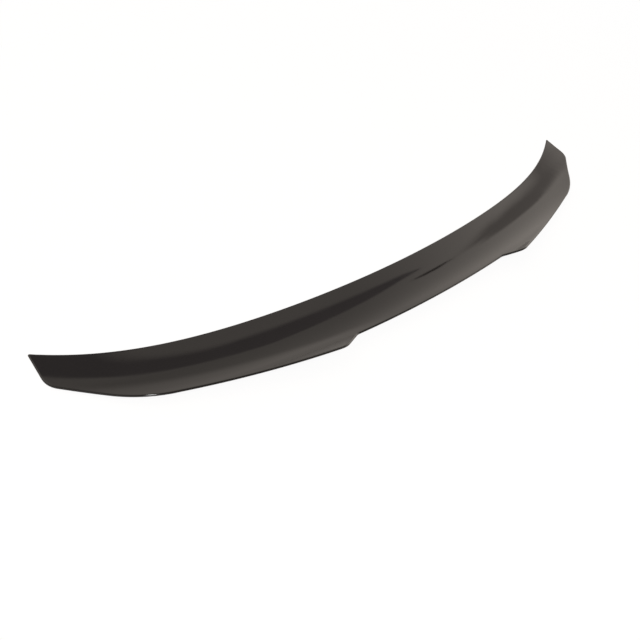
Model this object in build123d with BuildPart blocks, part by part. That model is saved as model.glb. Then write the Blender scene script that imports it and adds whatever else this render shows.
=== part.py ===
"""Car rear spoiler: a one-piece moulded blade that is bonded along the rear edge of a boot lid.

Millimetres. X runs across the car, +Y points to the front of the car and +Z up. The origin lies in the
middle of the bonding land, on the centreline, and the blade is symmetrical about the YZ plane.
"""

import os

from build123d import *

# Leading edge, seen from above: a shallow bow that turns in more sharply towards the tips
span = 1200.0
lead_bow = 64.0
lead_turn = 41.6
line_points = 13

# Skin: a thin nose over the flat bonding land, then a concave kick that rises to the lip. The line that
# the kick follows turns in less than the leading edge, so the kick fades towards the tips. The kick starts
# level, a lead in front of that line
nose = 2.0
wall = 3.5
bond_land = 30.0
wing_chord = 110.0
kick_lead = 34.0
kick_rise = 37.0
kick_turn = 25.0
under_stations = (1.0, 0.8, 0.6)

# Trailing edge, seen from above: a recess in the middle, a step and a wing on each side
recess_width = 361.0
recess_chord = 92.9
recess_bow = 6.4
step_run = 47.7
step_inner_radius = 20.5
step_outer_radius = 19.5
wing_bow = 4.4

# Ends: the wing bends forward, turns a round corner and runs to the tip
bend_inset = 84.5
bend_chord = 87.6
bend_radius = 204.0
end_length = 53.0
end_flare = 4.0
end_radius = 27.0
tip_radius = 2.0

# Rounded upper rim, with the share of the thin nose that its radius may take
rim_radius = 1.5
rim_share = 0.75

# Margins by which the swept blank stands past the outline that trims it, and the trim past the blank
rear_margin = 8.0
end_margin = 28.0
trim_margin = 5.0

half_span = span / 2


def line_y(x, turn):
    """Y, at a distance x from the centreline, of a line that bows as the blade does and turns in at the tips."""
    share = x / half_span
    return bond_land / 2 + lead_bow * share**2 + turn * share**6


def lead_y(x):
    """Y of the leading edge at a distance x from the centreline."""
    return line_y(x, lead_turn)


def line_route(reach, turn):
    """Points along such a line, from right to left, out to a distance reach on each side."""
    step = 2 * reach / (line_points - 1)
    stations = [reach - step * i for i in range(line_points)]
    return [(x, line_y(x, turn)) for x in stations]


def behind_lead(x, chord):
    """Point of the outline that lies a chord behind the leading edge."""
    return (x, lead_y(x) - chord)


def under_kick(kick, share):
    """Point of the underside, a wall below the kick curve at a share of its length."""
    direction = kick % share
    return kick @ share + wall * Vector(direction.Y, -direction.X)


def corner_pair(choice, corner):
    """The vertex or upright edge at a corner of the outline's right half, with its mirror image."""
    x, y = corner
    return choice.sort_by(lambda item: (abs(item.center().X) - x) ** 2 + (item.center().Y - y) ** 2)[:2]


# Corners of the right half of the outline
tip = behind_lead(half_span, 0)
end_corner = (half_span + end_flare, lead_y(half_span) - end_length)
bend = behind_lead(half_span - bend_inset, bend_chord)
step_outer = behind_lead(recess_width / 2 + step_run, wing_chord)
step_inner = behind_lead(recess_width / 2, recess_chord)
step_inner_left = (-step_inner[0], step_inner[1])

# The kick is a quartic: level at the front of the blank, and steepest at its rear
kick_length = kick_lead + wing_chord
blank_length = kick_length + rear_margin
blank_rise = kick_rise * (blank_length / kick_length) ** 4
quarter = blank_length / 4

with BuildPart() as spoiler_blade:
    # The skin's section is swept along the kick's line into a blank that overlaps the outline
    with BuildLine() as kick_line:
        Spline(*line_route(half_span + end_margin, kick_turn))
    along = kick_line.line % 0
    rearward = Vector(0, 0, 1).cross(along)
    with BuildSketch(Plane(kick_line.line @ 0, x_dir=rearward, z_dir=along)):
        with BuildLine():
            kick = Bezier(
                (-kick_lead, nose),
                (quarter - kick_lead, nose),
                (2 * quarter - kick_lead, nose),
                (3 * quarter - kick_lead, nose),
                (4 * quarter - kick_lead, nose + blank_rise),
            )
            Line(kick @ 1, under_kick(kick, under_stations[0]))
            Spline(
                *[under_kick(kick, share) for share in under_stations],
                (bond_land, 0),
                tangents=(-(kick % 1), (-1, 0)),
            )
            Polyline((bond_land, 0), (-kick_lead, 0), (-kick_lead, nose))
        make_face()
    sweep(path=kick_line.line)

    # The outline trims the blank to the stepped trailing edge and the swept-back ends
    with BuildSketch(Plane.XY.offset(-trim_margin)) as outline:
        with BuildLine():
            Spline(*line_route(half_span, lead_turn))
            right_side = [
                Line(tip, end_corner),
                Line(end_corner, bend),
                SagittaArc(bend, step_outer, wing_bow),
                Line(step_outer, step_inner),
            ]
            mirror(right_side, about=Plane.YZ)
            SagittaArc(step_inner, step_inner_left, recess_bow)
        make_face()
        fillet(corner_pair(outline.vertices(), end_corner), end_radius)
        fillet(corner_pair(outline.vertices(), bend), bend_radius)
        fillet(corner_pair(outline.vertices(), step_outer), step_outer_radius)
        fillet(corner_pair(outline.vertices(), step_inner), step_inner_radius)
    extrude(amount=nose + blank_rise + 2 * trim_margin, mode=Mode.INTERSECT)

    # Each tip is rounded where the leading edge meets the end
    uprights = spoiler_blade.edges().filter_by(Axis.Z)
    fillet(corner_pair(uprights, tip), tip_radius)

    # The rim is rounded all the way round above, and stays sharp below, where the mould parts
    top_skin = spoiler_blade.faces().sort_by(SortBy.AREA)[-1]
    fillet(top_skin.outer_wire().edges(), min(rim_radius, rim_share * nose))

spoiler_blade.part.label = "spoiler_blade"

os.makedirs("parts", exist_ok=True)
export_step(spoiler_blade.part, "parts/spoiler_blade.step")
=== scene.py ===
from math import cos, pi, radians, sqrt, tan

import bmesh
import bpy
from mathutils import Euler, Matrix, Vector


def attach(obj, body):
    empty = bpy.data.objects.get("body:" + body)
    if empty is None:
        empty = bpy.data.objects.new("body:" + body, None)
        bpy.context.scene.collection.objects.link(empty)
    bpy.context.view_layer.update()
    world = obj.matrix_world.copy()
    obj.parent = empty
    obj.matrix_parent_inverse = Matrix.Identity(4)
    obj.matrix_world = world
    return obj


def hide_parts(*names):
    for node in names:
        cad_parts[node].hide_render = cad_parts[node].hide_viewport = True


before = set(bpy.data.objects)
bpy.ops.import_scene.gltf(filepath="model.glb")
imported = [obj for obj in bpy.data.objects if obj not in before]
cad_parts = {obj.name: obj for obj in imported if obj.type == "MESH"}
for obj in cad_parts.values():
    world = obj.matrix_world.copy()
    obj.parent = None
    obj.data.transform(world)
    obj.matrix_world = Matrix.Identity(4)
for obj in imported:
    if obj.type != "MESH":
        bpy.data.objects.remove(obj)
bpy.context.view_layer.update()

# The blade
# One injection-moulded skin of ABS, from tip to tip, sprayed black and polished under a clear coat. It is
# bonded along its front edge, so its only details are the kicked-up lip, the stepped rear edge and the rim.

# Metres, in the frame's axes: x to the right seen from behind, y forward and z up
span = 1.200
half_span = span / 2
lead_bow = 0.0640
lead_turn = 0.0416
kick_turn = 0.0250
land_width = 0.030
nose_height = 0.002
wall = 0.0035
wing_chord = 0.110
kick_lead = 0.034
kick_rise = 0.037
kick_length = kick_lead + wing_chord
rim_radius = 0.0015
rim_growth = 1.4


def line_y(x, turn):
    """Where a line that bows as the blade does, and turns in at the tips, lies at x from the middle."""
    share = x / half_span
    return land_width / 2 + lead_bow * share**2 + turn * share**6


def line_slope(x, turn):
    """How steeply that line runs forward there."""
    share = x / half_span
    return (2 * lead_bow * share + 6 * turn * share**5) / half_span


def line_foot(point, turn):
    """The point of that line that lies nearest to a point of the plan, closed in on in a few rounds."""
    x = point.x
    for _ in range(12):
        slope = line_slope(x, turn)
        x += ((point.x - x) + (point.y - line_y(x, turn)) * slope) / (1 + slope**2)
    return Vector((x, line_y(x, turn)))


def behind_lead(x, chord):
    """Point of the plan that lies a chord behind the leading edge."""
    return Vector((x, line_y(x, lead_turn) - chord))


def kick_run(point):
    """How far a point of the plan lies behind the start of the kick, which fades towards the tips."""
    foot = line_foot(point, kick_turn)
    rearward = Vector((line_slope(foot.x, kick_turn), -1)).normalized()
    return kick_lead + (point - foot).dot(rearward)


def skin_height(run):
    """Height of the upper skin at a run behind the start of the kick: a quartic that rises to the lip."""
    return nose_height + kick_rise * (run / kick_length) ** 4


def steepness(run):
    """How steeply the skin rises there."""
    return 4 * kick_rise * run**3 / kick_length**4


def under_height(run):
    """Height of the underside there: flat under the nose, then one wall below the skin."""
    return max(0.0, skin_height(run) - wall * sqrt(1 + steepness(run) ** 2))


def rim_reach(run):
    """How far the rim's rounding reaches into the skin there: further where the edge is sharper."""
    return rim_radius * (1 + rim_growth * steepness(run))


# Corners of the right half of the rear edge, from the recess in the middle out to the tip
recess_bow = 0.0058
wing_bow = 0.0044
end_flare = 0.0040
end_length = 0.0530
tip_reach = 0.010
step_inner = behind_lead(x=0.1850, chord=0.0937)
step_outer = behind_lead(x=0.2262, chord=0.1105)
bend = behind_lead(x=0.5155, chord=0.0876)
tip = behind_lead(x=half_span, chord=0)
end_corner = tip + Vector((end_flare, -end_length))
end_stop = tip + (end_corner - tip).normalized() * tip_reach
front_stop = tip - Vector((1, line_slope(half_span, lead_turn))).normalized() * tip_reach


def stretch(start, end, count, bow=0):
    """Points of an edge from start up to end, bowed rearwards between them."""
    run = end - start
    rearward = Vector((run.y, -run.x)).normalized()
    shares = [i / count for i in range(count)]
    return [start + run * share + rearward * 4 * bow * share * (1 - share) for share in shares]


def rounded(route, corner, radius, count):
    """The route with one corner replaced by an arc, and without the points that would crowd the arc."""
    at = min(range(len(route)), key=lambda i: (route[i] - corner).length)
    back = (route[at - 1] - corner).normalized()
    onward = (route[at + 1] - corner).normalized()
    half_turn = (pi - back.angle(onward)) / 2
    reach = radius * tan(half_turn)
    centre = corner + (back + onward).normalized() * radius / cos(half_turn)
    start = (corner + back * reach - centre).normalized()
    end = (corner + onward * reach - centre).normalized()
    arc = [centre + radius * start.slerp(end, i / count) for i in range(count + 1)]
    crowded = 1.1 * reach
    before = [p for p in route[:at] if (p - corner).length > crowded]
    after = [p for p in route[at + 1:] if (p - corner).length > crowded]
    return before + arc + after


recess = stretch(Vector((-step_inner.x, step_inner.y)), step_inner, count=60, bow=recess_bow)
rear_edge = [
    *recess[len(recess) // 2:],
    *stretch(step_inner, step_outer, count=12),
    *stretch(step_outer, bend, count=48, bow=wing_bow),
    *stretch(bend, end_corner, count=20),
    end_corner,
    end_stop,
]
rear_edge = rounded(rear_edge, step_inner, radius=0.0205, count=8)
rear_edge = rounded(rear_edge, step_outer, radius=0.036, count=10)
rear_edge = rounded(rear_edge, bend, radius=0.204, count=12)
rear_edge = rounded(rear_edge, end_corner, radius=0.027, count=12)[:-1]
front_edge = [line_foot(point, lead_turn) for point in rear_edge]
rear_edge[-1:] = [*stretch(rear_edge[-1], end_stop, count=8), end_stop, tip]
front_edge[-1:] = [*stretch(front_edge[-1], front_stop, count=8), front_stop, tip]

# A flat strip, one face deep, takes the plan of the blade and closes to a point at each tip
strip_height = 0.008
columns = len(rear_edge) - 1
bpy.ops.object.select_all(action="DESELECT")
bpy.ops.mesh.primitive_grid_add(x_subdivisions=2 * columns, y_subdivisions=1, size=2 * columns)
blade = bpy.context.object
blade.name = "spoiler_skin"
for vertex in blade.data.vertices:
    column = round(vertex.co.x)
    place = (front_edge if vertex.co.y > 0 else rear_edge)[abs(column)]
    vertex.co = (place.x if column > 0 else -place.x, place.y, 0)
bpy.ops.object.mode_set(mode="EDIT")
bpy.ops.mesh.select_all(action="SELECT")
bpy.ops.mesh.remove_doubles(threshold=0.00001)
bpy.ops.mesh.normals_make_consistent(inside=False)
bpy.ops.mesh.extrude_region_move(TRANSFORM_OT_translate={"value": (0, 0, strip_height)})
bpy.ops.mesh.select_all(action="SELECT")
bpy.ops.mesh.normals_make_consistent(inside=False)

hair = 0.0001


def select_edges(mesh_object, wanted):
    """Selects the edges that fit a rule, in edit mode."""
    bpy.ops.mesh.select_all(action="DESELECT")
    bpy.ops.mesh.select_mode(type="EDGE")
    edit = bmesh.from_edit_mesh(mesh_object.data)
    for edge in edit.edges:
        edge.select_set(wanted(edge))
    edit.select_flush_mode()
    bmesh.update_edit_mesh(mesh_object.data)


def is_tip(edge):
    """An upright edge of the strip, at one of its two tips."""
    upright = abs(edge.verts[0].co.z - edge.verts[1].co.z) > hair
    return upright and all(abs(abs(v.co.x) - tip.x) < hair for v in edge.verts)


def is_rim(edge):
    """A level edge of the strip's border, above or below."""
    flat = abs(edge.verts[0].co.z - edge.verts[1].co.z) < hair
    return flat and any(abs(f.normal.z) < 0.5 for f in edge.link_faces)


def is_across(edge):
    """An edge inside the strip's flat top or bottom."""
    return all(abs(f.normal.z) > 0.9999 for f in edge.link_faces)


# The tips and the rim are rounded while the strip is flat. The lower edges take only a share of the rounding
under_share = 0.13
select_edges(blade, is_tip)
bpy.ops.mesh.bevel(offset=0.0036, segments=6, affect="EDGES")
bpy.ops.object.mode_set(mode="OBJECT")
edit = bmesh.new()
edit.from_mesh(blade.data)
weight = edit.edges.layers.float.new("bevel_weight_edge")
for edge in filter(is_rim, edit.edges):
    plan = ((edge.verts[0].co + edge.verts[1].co) / 2).xy
    on_top = edge.verts[0].co.z > strip_height / 2
    edge[weight] = rim_reach(kick_run(plan)) / rim_reach(kick_length) if on_top else under_share
edit.to_mesh(blade.data)
edit.free()
rim = blade.modifiers.new("rim", "BEVEL")
rim.limit_method = "WEIGHT"
rim.width = rim_reach(kick_length)
rim.segments = 6
rim.use_clamp_overlap = False
bpy.ops.object.modifier_apply(modifier=rim.name)
bpy.ops.object.mode_set(mode="EDIT")
select_edges(blade, is_across)
bpy.ops.mesh.subdivide(number_cuts=35)
bpy.ops.mesh.select_all(action="DESELECT")
bpy.ops.mesh.select_mode(type="FACE")
bpy.ops.mesh.select_face_by_sides(number=4, type="GREATER", extend=False)
bpy.ops.mesh.poke()
bpy.ops.object.mode_set(mode="OBJECT")

# The kick is pressed into the strip: its top takes the height of the skin, its bottom that of the underside
for vertex in blade.data.vertices:
    run = kick_run(vertex.co.xy)
    if vertex.co.z > strip_height / 2:
        vertex.co.z += skin_height(run) - strip_height
    else:
        vertex.co.z += under_height(run)
bpy.ops.object.shade_smooth_by_angle(angle=radians(35))
even_normals = blade.modifiers.new("even_normals", "WEIGHTED_NORMAL")
even_normals.keep_sharp = True
bpy.ops.object.modifier_apply(modifier=even_normals.name)


def linear(colour):
    """The linear values of an sRGB hex colour, with alpha 1."""
    channels = [int(colour[i:i + 2], 16) / 255 for i in (1, 3, 5)]
    return [c / 12.92 if c <= 0.04045 else ((c + 0.055) / 1.055) ** 2.4 for c in channels] + [1]


def add_node(tree, kind, inputs=None, **settings):
    """Adds a node with its settings and inputs. An input is a value, a socket, or a node's first output."""
    made = tree.nodes.new(kind)
    for name, value in settings.items():
        setattr(made, name, value)
    for name, value in (inputs or {}).items():
        if isinstance(value, bpy.types.Node):
            value = value.outputs[0]
        if isinstance(value, bpy.types.NodeSocket):
            tree.links.new(value, made.inputs[name])
        else:
            made.inputs[name].default_value = value
    return made


# While input 0 of a Map Range node goes from input 1 to input 2, its output goes from input 3 to input 4
smooth = {"interpolation_type": "SMOOTHSTEP"}

# Polished clear-coated black
# Sprayed black under a hard lacquer that was flatted and polished: near-mirror gloss over a deep, faintly
# warm black. The lacquer keeps shallow waves, and the polish leaves a haze that comes and goes.

haze_length = 0.080
wave_length = 0.009
wave_depth = 0.000008
gloss_black = bpy.data.materials.new("polished_clear_coated_black")
gloss_black.use_nodes = True
paint = gloss_black.node_tree
shader = paint.nodes["Principled BSDF"]
shader.inputs["IOR"].default_value = 1.5
place = add_node(paint, "ShaderNodeTexCoord")
spot = place.outputs["Object"]
haze = add_node(paint, "ShaderNodeTexNoise", {"Vector": spot, "Scale": 1 / haze_length, "Detail": 4})
tone = add_node(paint, "ShaderNodeMix", {0: haze}, data_type="RGBA")
tone.inputs[6].default_value = linear("#110f0f")
tone.inputs[7].default_value = linear("#151313")
polish = add_node(paint, "ShaderNodeMapRange", {0: haze, 1: 0.3, 2: 0.7, 3: 0.03, 4: 0.07}, **smooth)
waves = add_node(paint, "ShaderNodeTexNoise", {"Vector": spot, "Scale": 1 / wave_length, "Detail": 1})
peel = add_node(paint, "ShaderNodeBump", {"Height": waves, "Strength": 1})
peel.inputs["Distance"].default_value = wave_depth

# The spray stops at the rim. The underside is bare moulded ABS, satin, with the mould's fine spark grain.
# The real grain is about 0.2 mm and is drawn at 1.2 mm, so that it shows
grain_size = 0.0012
grain_depth = 0.00003
facing = add_node(paint, "ShaderNodeSeparateXYZ", {"Vector": place.outputs["Normal"]}).outputs
bare = add_node(paint, "ShaderNodeMapRange", {0: facing["Z"], 1: -0.40, 2: -0.25, 3: 1, 4: 0}, **smooth)
spark = add_node(paint, "ShaderNodeTexNoise", {"Vector": spot, "Scale": 1 / grain_size, "Detail": 2})
satin = add_node(paint, "ShaderNodeMapRange", {0: spark, 1: 0.3, 2: 0.7, 3: 0.44, 4: 0.58}, **smooth)
grain = add_node(paint, "ShaderNodeBump", {"Height": spark, "Strength": 1})
grain.inputs["Distance"].default_value = grain_depth
moulded = add_node(paint, "ShaderNodeMix", {0: spark}, data_type="RGBA")
moulded.inputs[6].default_value = linear("#1b1b1c")
moulded.inputs[7].default_value = linear("#232324")

# A Mix node's inputs 2 and 3 are its numbers, 4 and 5 its vectors, and 6 and 7 its colours
colours = {0: bare, 6: tone.outputs[2], 7: moulded.outputs[2]}
colour = add_node(paint, "ShaderNodeMix", colours, data_type="RGBA")
gloss = add_node(paint, "ShaderNodeMix", {0: bare, 2: polish, 3: satin})
normals = {0: bare, 4: peel, 5: grain}
relief = add_node(paint, "ShaderNodeMix", normals, data_type="VECTOR")
paint.links.new(colour.outputs[2], shader.inputs["Base Color"])
paint.links.new(gloss.outputs[0], shader.inputs["Roughness"])
paint.links.new(relief.outputs[1], shader.inputs["Normal"])
blade.data.materials.append(gloss_black)

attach(blade, "root")
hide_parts("spoiler_blade")

# The floor
# A sheet of white studio paper under the blade. The camera sees it lit evenly, with the blade's soft shadow
# on it. It fades out into the tent, so that no horizon shows in the gloss.

bpy.ops.object.select_all(action="DESELECT")
bpy.ops.mesh.primitive_plane_add(size=6, location=(0, 0, -0.0002))
floor = bpy.context.object
floor.name = "studio_floor"
paper = bpy.data.materials.new("white_studio_paper")
paper.use_nodes = True
sheet = paper.node_tree
sheet.nodes.clear()

# How much of the paper's look is its own even light, to the camera and in the gloss
camera_share = 0.88
mirror_share = 0.12
rays = add_node(sheet, "ShaderNodeLightPath").outputs
mirrored = add_node(sheet, "ShaderNodeMath", {0: rays["Is Glossy Ray"], 1: rays["Is Transmission Ray"]})
softened = add_node(sheet, "ShaderNodeMath", {0: mirrored, 1: mirror_share}, operation="MULTIPLY")
direct = add_node(sheet, "ShaderNodeMath", {0: rays["Is Camera Ray"], 1: camera_share}, operation="MULTIPLY")
seen = add_node(sheet, "ShaderNodeMath", {0: softened, 1: direct})
lit = add_node(sheet, "ShaderNodeBsdfDiffuse", {"Color": linear("#d4d0cc")})
even = add_node(sheet, "ShaderNodeEmission", {"Color": (1, 1, 1, 1), "Strength": 1.06})
mixed = add_node(sheet, "ShaderNodeMixShader", {0: seen, 1: lit, 2: even})
spot = add_node(sheet, "ShaderNodeTexCoord").outputs["Object"]
oval = add_node(sheet, "ShaderNodeVectorMath", {0: spot, 1: (0.6, 1, 0)}, operation="MULTIPLY")
away = add_node(sheet, "ShaderNodeVectorMath", {0: oval}, operation="LENGTH").outputs["Value"]
middle = add_node(sheet, "ShaderNodeMapRange", {0: away, 1: 0.4, 2: 1.5, 3: 1, 4: 0}, **smooth)
clear = add_node(sheet, "ShaderNodeBsdfTransparent")
soft = add_node(sheet, "ShaderNodeMixShader", {0: middle, 1: clear, 2: mixed})
add_node(sheet, "ShaderNodeOutputMaterial", {"Surface": soft})
floor.data.materials.append(paper)

# The studio
# A tent of warm white cloth round the blade. A soft strip lamp hangs above it, to the left and behind, and
# three cards under the roof glow at a set level and are seen only in the gloss: painted dark reflections.

world = bpy.data.worlds.new("studio_tent")
bpy.context.scene.world = world
world.use_nodes = True
tent = world.node_tree
tent.nodes.clear()
rays = add_node(tent, "ShaderNodeLightPath").outputs
direction = add_node(tent, "ShaderNodeTexCoord").outputs["Generated"]
towards = add_node(tent, "ShaderNodeSeparateXYZ", {"Vector": direction}).outputs

# In front the cloth is bright up to a slanting border, and dimmer to the right of it. Behind it is dim,
# apart from the left. The right side is the brightest, more so lower down
border_slant = 0.46
bearing = add_node(tent, "ShaderNodeMath", {0: towards["X"], 1: towards["Y"]}, operation="DIVIDE")
slant = {0: towards["Z"], 1: border_slant, 2: bearing}
drift = add_node(tent, "ShaderNodeMath", slant, operation="MULTIPLY_ADD")
front = add_node(tent, "ShaderNodeMapRange", {0: drift, 1: 0.905, 2: 1.035, 3: 1.09, 4: 0.71}, **smooth)
ahead = add_node(tent, "ShaderNodeMapRange", {0: towards["Y"], 1: 0.05, 2: 0.30, 3: 0, 4: 1}, **smooth)
back = add_node(tent, "ShaderNodeMapRange", {0: towards["X"], 1: -0.6, 2: -0.25, 3: 0.75, 4: 0.18}, **smooth)
around = add_node(tent, "ShaderNodeMix", {0: ahead, 2: back, 3: front})
aside = add_node(tent, "ShaderNodeMapRange", {0: towards["X"], 1: 0.64, 2: 0.83, 3: 0, 4: 1}, **smooth)
side = add_node(tent, "ShaderNodeMapRange", {0: towards["Z"], 1: 0.20, 2: 0.48, 3: 1.80, 4: 1.50}, **smooth)
level = add_node(tent, "ShaderNodeMix", {0: aside, 2: around, 3: side})

# The roof is a little brighter than the walls, and the foot of the walls darker. The camera sees plain white
roof = add_node(tent, "ShaderNodeMapRange", {0: towards["Z"], 1: 0.60, 2: 0.72, 3: 1.0, 4: 1.18}, **smooth)
foot = add_node(tent, "ShaderNodeMapRange", {0: towards["Z"], 1: 0.0, 2: 0.18, 3: 0.75, 4: 1.0}, **smooth)
lift = add_node(tent, "ShaderNodeMath", {0: roof, 1: foot}, operation="MULTIPLY")
strength = add_node(tent, "ShaderNodeMath", {0: level, 1: lift}, operation="MULTIPLY")
cloth = add_node(tent, "ShaderNodeBackground", {"Color": linear("#fff5eb"), "Strength": strength})
white = add_node(tent, "ShaderNodeBackground", {"Color": (1, 1, 1, 1), "Strength": 1.0})
views = {0: rays["Is Camera Ray"], 1: cloth, 2: white}
sky = add_node(tent, "ShaderNodeMixShader", views)
add_node(tent, "ShaderNodeOutputWorld", {"Surface": sky})

# The lamp is brightest in its middle and fades out to its border
peak_strength = 120
strip = bpy.data.lights.new("overhead_strip", "AREA")
strip.shape = "RECTANGLE"
strip.size = 0.40
strip.size_y = 1.60
strip.energy = 1
strip.use_nodes = True
tube = strip.node_tree
tube.nodes.clear()
surface = add_node(tube, "ShaderNodeNewGeometry")
centred = add_node(tube, "ShaderNodeMapping", {"Vector": surface.outputs["Parametric"]})
centred.inputs["Location"].default_value = (-1, -1, 0)
centred.inputs["Scale"].default_value = (2, 2, 0)
glow = add_node(tube, "ShaderNodeTexGradient", {"Vector": centred}, gradient_type="SPHERICAL")
power = add_node(tube, "ShaderNodeMath", {0: glow.outputs["Fac"], 1: peak_strength}, operation="MULTIPLY")
shine = add_node(tube, "ShaderNodeEmission", {"Color": (1, 1, 1, 1), "Strength": power})
add_node(tube, "ShaderNodeOutputLight", {"Surface": shine})
lamp = bpy.data.objects.new("overhead_strip", strip)
lamp.location = (-0.85, -1.05, 2.50)
lamp.rotation_euler = (0, 0, radians(-26))
bpy.context.scene.collection.objects.link(lamp)

card_height = 2.0
card_bands = 3


def hang_card(name, colour, stations, soft_start=0.001):
    """Hangs a card under the roof that glows at a set level and is seen only in the gloss, so the dark
    patch it makes on the blade is a painted reflection. Each station has the card's x, then the y of its
    border and of its core on the near side, and those of its core and its border on the far side. The card
    fades in from the border to the core, and over a share soft_start of its length."""
    length = len(stations) - 1
    bpy.ops.object.select_all(action="DESELECT")
    bpy.ops.mesh.primitive_grid_add(x_subdivisions=length, y_subdivisions=card_bands, size=2)
    card = bpy.context.object
    card.name = name
    for vertex in card.data.vertices:
        x, *rows = stations[round((vertex.co.x + 1) / 2 * length)]
        vertex.co = (x, rows[round((vertex.co.y + 1) / 2 * card_bands)], card_height)
    painted_reflection = bpy.data.materials.new(name)
    painted_reflection.use_nodes = True
    tree = painted_reflection.node_tree
    tree.nodes.clear()
    spread = add_node(tree, "ShaderNodeTexCoord").outputs["UV"]
    share = add_node(tree, "ShaderNodeSeparateXYZ", {"Vector": spread}).outputs
    edge = 1 / card_bands
    near = add_node(tree, "ShaderNodeMapRange", {0: share["Y"], 1: 0, 2: edge, 3: 0, 4: 1}, **smooth)
    far = add_node(tree, "ShaderNodeMapRange", {0: share["Y"], 1: 1 - edge, 2: 1, 3: 1, 4: 0}, **smooth)
    start = add_node(tree, "ShaderNodeMapRange", {0: share["X"], 1: 0, 2: soft_start, 3: 0, 4: 1}, **smooth)
    width = add_node(tree, "ShaderNodeMath", {0: near, 1: far}, operation="MULTIPLY")
    cover = add_node(tree, "ShaderNodeMath", {0: width, 1: start}, operation="MULTIPLY")
    clear = add_node(tree, "ShaderNodeBsdfTransparent")
    glow = add_node(tree, "ShaderNodeEmission", {"Color": linear(colour)})
    layers = {0: cover, 1: clear, 2: glow}
    mixed = add_node(tree, "ShaderNodeMixShader", layers)
    add_node(tree, "ShaderNodeOutputMaterial", {"Surface": mixed})
    card.data.materials.append(painted_reflection)
    # Only glossy rays see the card, so it lights and shades nothing: its glow is a painted reflection
    card.visible_camera = False
    card.visible_diffuse = False
    card.visible_shadow = False


# The cards' colours are the glow of painted reflections, not the grey of lit cards
hang_card("long_card", "#a29a99", (
    (-0.40, 0.80, 0.90, 0.95, 1.02),
    (0.20, 1.00, 1.08, 1.32, 1.39),
    (0.60, 1.13, 1.26, 1.49, 1.59),
    (1.05, 1.21, 1.38, 1.70, 1.85),
    (1.75, 1.14, 1.27, 1.92, 2.10),
    (2.20, 1.15, 1.25, 1.42, 1.70),
    (2.44, 1.28, 1.29, 1.30, 1.32),
))
hang_card("small_card", "#5c5452", (
    (2.58, 1.62, 1.63, 1.64, 1.65),
    (2.70, 1.59, 1.66, 1.72, 1.80),
    (2.86, 1.58, 1.65, 1.75, 1.82),
    (2.91, 1.64, 1.65, 1.67, 1.68),
))
hang_card("side_card", "#d2c8c0", (
    (2.80, 1.12, 1.32, 1.45, 1.75),
    (3.02, 1.02, 1.30, 1.46, 1.78),
    (3.14, 1.05, 1.36, 1.42, 1.80),
    (3.28, 1.02, 1.27, 1.64, 1.93),
    (3.46, 0.98, 1.29, 1.68, 1.96),
    (3.66, 0.76, 1.28, 1.66, 1.90),
    (3.80, 0.75, 0.95, 1.00, 1.86),
    (3.92, 0.75, 0.92, 0.97, 1.55),
    (4.40, 0.93, 0.94, 0.95, 0.96),
), soft_start=0.2)

# The camera
# It stands at the left of the blade, a little behind it and above it, and is rolled. Its place was found
# from points that mirror each other on the blade's two halves.

camera_data = bpy.data.cameras.new("photo_camera")
camera = bpy.data.objects.new("photo_camera", camera_data)
bpy.context.scene.collection.objects.link(camera)
camera_data.lens = 46.13
camera_data.sensor_width = 36
heading = radians(63.69)
drop = radians(47.14)
roll = radians(29.22)
aim = Vector((-0.2038, -0.0161, 0))
distance = 1.2228
turn = Euler((pi / 2 - drop, 0, -heading)).to_matrix() @ Matrix.Rotation(roll, 3, "Z")
camera.matrix_world = Matrix.Translation(aim + turn @ Vector((0, 0, distance))) @ turn.to_4x4()
bpy.context.scene.camera = camera

bpy.context.scene.view_settings.view_transform = "Standard"
